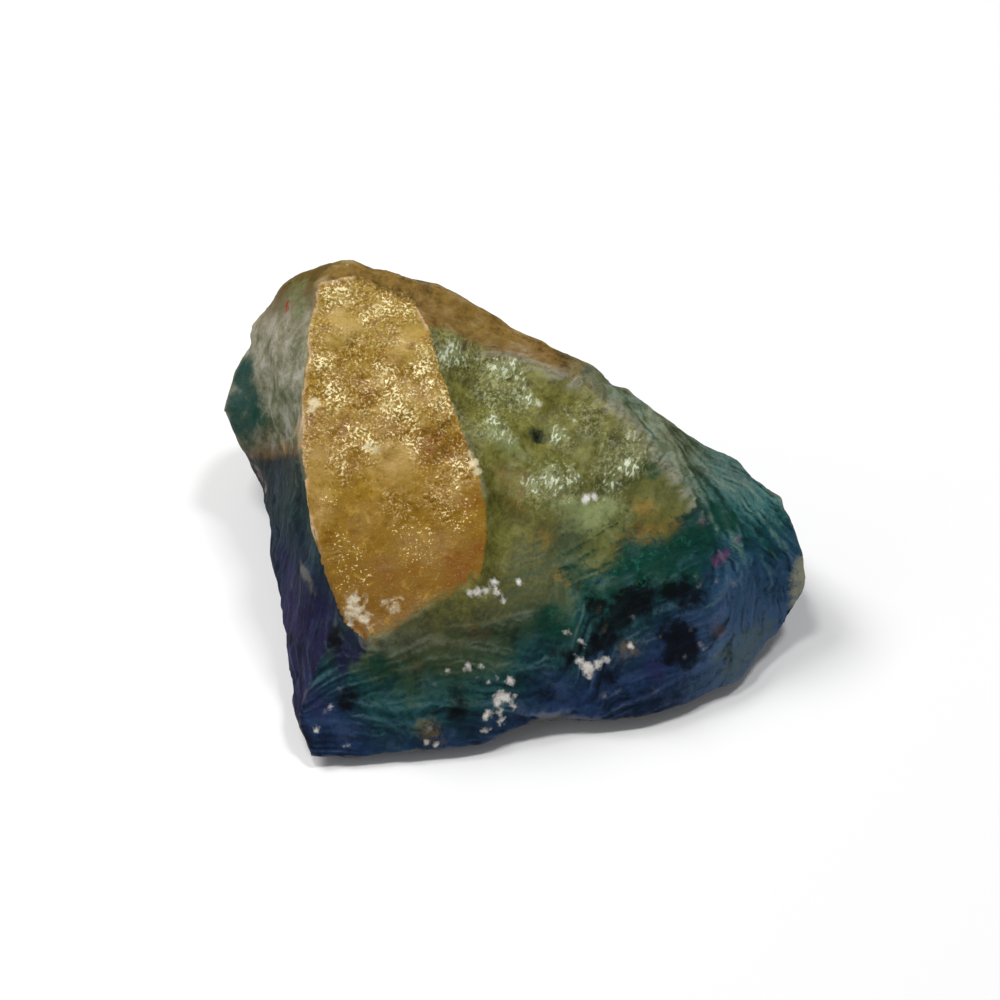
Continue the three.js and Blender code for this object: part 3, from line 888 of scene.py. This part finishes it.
    def honey_break(self):
        """The honey-coloured break: satin gold, with wrinkled foil where it is hackled. Its glints, sparkles,
        the sheen on its folds and its pale rim are painted highlights, and its dark grooves painted shade.
        """
        blotch = self.noise(self.here, 1.6, 4, 0.7, 0.8)
        tint = self.layers(
            self.ramp(self.plus(self.rise, self.scatter(self.middling, 6)), HONEYS),
            ("c8a040", self.between(blotch, 0.52, 0.7, 0, 0.4)),
            ("754c08", self.between(blotch, 0.46, 0.3, 0, 0.6)),
            ("6a4808", self.between(self.fine, 0.5, 0.3, 0, 0.5)),
        )
        painted_sparkle = self.between(self.noise(self.here, 0.24, 1), 0.62, 0.7)
        return self.layers(
            self.mix(self.times(self.hackled, 0.5), tint, self.ramp(self.cells, PAINTED_FOIL_LIGHT)),
            ("78420a", self.mark("stain", self.ragged, 0.9), self.patchy, 0.85),
            # painted sheen on the bright folds
            ("cbaa60", self.painted_sheen, 0.35),
            # painted shade in the dark grooves between the glints
            ("6a4404", self.painted_groove_shade, self.hackled, 0.6),
            # painted white-gold glints
            ("fff2b8", self.painted_glint, self.hackled, self.fade(self.painted_sheen, 0.5, 1)),
            ("bc9c5c", self.satin, 0.6),
            ("d6cdb4", self.mark("chalk", self.ragged, 0.5), self.patchy, 0.8),
            # painted gold sparkles
            ("ffe9a4", painted_sparkle, self.most(self.mark("sparkles", self.ragged, 1), 0.08), 0.9),
            # painted highlight along the rim
            ("dcb892", self.stored("painted_rim_highlight"), self.between(self.middling, 0.35, 0.55, 0.4, 1), 0.9),
        )

    def shine(self):
        """Sets where the breaks are glassy and wrinkled: hackled, in the honey, and glittering, in the green,
        and the masks of the glints, sheen and grooves painted on them.
        """
        self.hackle = self.between(self.stored("hackle", self.ragged), -1.5, 1, 0.15, 1)
        high = self.between(self.plus(self.rise, self.ragged), 8, 12)
        self.satin = self.mark("satin", self.ragged, 1.2)
        clusters = self.between(self.noise(self.here, 2.4, 3, 0.6), 0.38, 0.6, 0.4, 1)
        wrinkled = self.times(self.most(self.hackle, high), clusters, self.rest(self.times(self.satin, 0.9)))
        self.hackled = self.between(wrinkled, 0.12, 0.8)
        self.painted_gleam = self.times(self.between(self.stored("painted_gleam", self.ragged), -0.4, 1), self.outside)
        bent = self.swayed(self.here, 1.5, 0.3)
        # Painted glints: dense on the folds, where a sheen is painted too, and sparse between them.
        self.painted_sheen = self.mark("sheen", self.ragged, 0.9)
        wave = self.noise(bent, 0.24, 1, 0.5, 0.4)
        self.painted_glint = self.between(self.plus(wave, self.times(self.painted_sheen, 0.1)), 0.59, 0.67)
        self.painted_groove_shade = self.between(wave, 0.48, 0.38)
        self.painted_glint_spots = self.between(self.noise(self.drawn(bent, RIB_FLOW, 0.5), 0.3, 1), 0.51, 0.62)
        self.glossy = self.rest(self.times(self.side, self.outside))
        hackled = self.most(self.times(self.hackled, self.window), self.hackle)
        self.shiny = self.most(self.painted_gleam, self.times(hackled, self.glossy))

    def tint(self, white, pale, crumb):
        """The stone's colour, from its growth zones to the flecks that lie on them, with painted glints, glow
        and shade in it.
        """
        ridge = self.stored("ridge")
        tint = self.layers(
            self.patches(self.green_break(self.sides())),
            # Painted glints of the green break with a pale painted glow round them, and fainter painted glints
            # where it is hackled.
            ("9aa272", self.painted_gleam, 0.55),
            ("bcb884", self.hackle, self.glossy, self.outside, self.painted_glint_spots, 0.3),
            ("e2ebd2", self.painted_gleam, self.painted_glint_spots, 0.85),
            # painted shade in the hollows
            ("14120c", self.between(ridge, -0.04, -0.16, 0, 0.4)),
        )
        worn = self.plus(ridge, self.times(self.torn, 0.08))
        return self.layers(
            self.mix(self.window, tint, self.honey_break()),
            ("0c0b08", self.between(self.fine, 0.46, 0.28), self.fade(self.window, 0.3, 0.1)),
            ("b5ad8c", self.between(worn, 0.05, 0.2, 0, 0.2), self.outside),
            # painted shade on the back-turned faces
            ("1a150c", self.stored("painted_back_shade"), 0.5),
            ("e2d2a8", self.mark("chips", crumb), 0.85),
            ("8f9296", pale, 0.5),
            ("e8e3dc", white, self.between(self.fine, 0.3, 0.5, 0.7, 1)),
        )

    def build(self):
        self.shine()
        crumb = self.scatter(self.noise(self.here, 0.6, 3, 0.55), 1.3)
        white, pale = (self.between(self.stored(name, crumb), -0.1, 0.5) for name in ("white", "pale"))
        powdery = self.most(white, pale)
        roughness = self.plus(self.fade(self.glossy, 0.75, 0.4), self.scatter(self.middling, 0.2))
        coat = self.times(self.glossy, self.shiny, self.rest(powdery), self.fade(self.painted_glint, 0.2, 0.7))
        foil = self.times(self.plus(self.times(self.cells, 0.06), self.times(self.painted_glint, 0.03)), self.shiny)
        grain = self.times(self.fine, self.fade(self.glossy, 0.15, 0.04))
        relief = self.plus(foil, self.times(self.strand, self.side, 0.02), grain)
        bump = self.add("Bump", {"Height": relief, "Strength": 1, "Distance": MM}).outputs[0]
        return self.surface({
            "Base Color": self.tint(white, pale, crumb), "Normal": bump,
            "Roughness": self.most(roughness, self.times(powdery, 0.8)),
            "IOR": FLUORITE_IOR, "Specular IOR Level": 0.12,
            "Coat Weight": coat, "Coat Roughness": 0.12, "Coat IOR": 1.5, "Coat Normal": bump,
        })


# ---- studio ----

def make_floor():
    mesh = bpy.data.meshes.new("floor")
    corners = [(x * FLOOR_REACH, y * FLOOR_REACH, 0) for x, y in ((-1, -1), (1, -1), (1, 1), (-1, 1))]
    mesh.from_pydata(corners, [], [(0, 1, 2, 3)])
    mesh.materials.append(Shader("floor").surface({"Base Color": colour("f4f4f4"), "Roughness": 0.8}))
    floor = linked("floor", mesh)
    floor.location.z = -FLOOR_GAP


def make_light(name, place, size, power):
    """A square lamp that shines at the stone."""
    lamp = bpy.data.lights.new(name, "AREA")
    lamp.size = size
    lamp.energy = power
    light = linked(name, lamp)
    light.location = place
    light.rotation_euler = (Vector(TARGET * MM) - Vector(place)).to_track_quat("-Z", "Y").to_euler()


def make_studio():
    make_floor()
    for lamp in LAMPS:
        make_light(*lamp)
    world = bpy.data.worlds.new("studio")
    bpy.context.scene.world = world
    world.use_nodes = True
    background = world.node_tree.nodes["Background"]
    background.inputs["Color"].default_value = (1, 1, 1, 1)
    background.inputs["Strength"].default_value = SKY_STRENGTH
    bpy.context.scene.view_settings.view_transform = "Standard"


def make_camera():
    data = bpy.data.cameras.new("camera")
    data.lens = LENS
    data.sensor_width = SENSOR
    data.clip_start = 0.01
    camera = linked("camera", data)
    camera.location = Vector((TARGET - LOOK * DISTANCE) * MM)
    camera.rotation_euler = Vector(LOOK).to_track_quat("-Z", "Y").to_euler()
    bpy.context.scene.camera = camera


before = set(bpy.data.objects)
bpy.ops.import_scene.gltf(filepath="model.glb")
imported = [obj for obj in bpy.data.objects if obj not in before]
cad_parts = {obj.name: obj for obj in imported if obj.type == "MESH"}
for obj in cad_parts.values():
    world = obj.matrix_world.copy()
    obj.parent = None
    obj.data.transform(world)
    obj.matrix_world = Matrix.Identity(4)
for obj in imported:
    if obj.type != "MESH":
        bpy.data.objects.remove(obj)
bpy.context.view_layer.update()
make_camera()
make_studio()
stone = make_stone(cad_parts["fluorite"])
stone.data.materials.append(Fluorite().build())
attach(stone, "root")
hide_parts("fluorite")
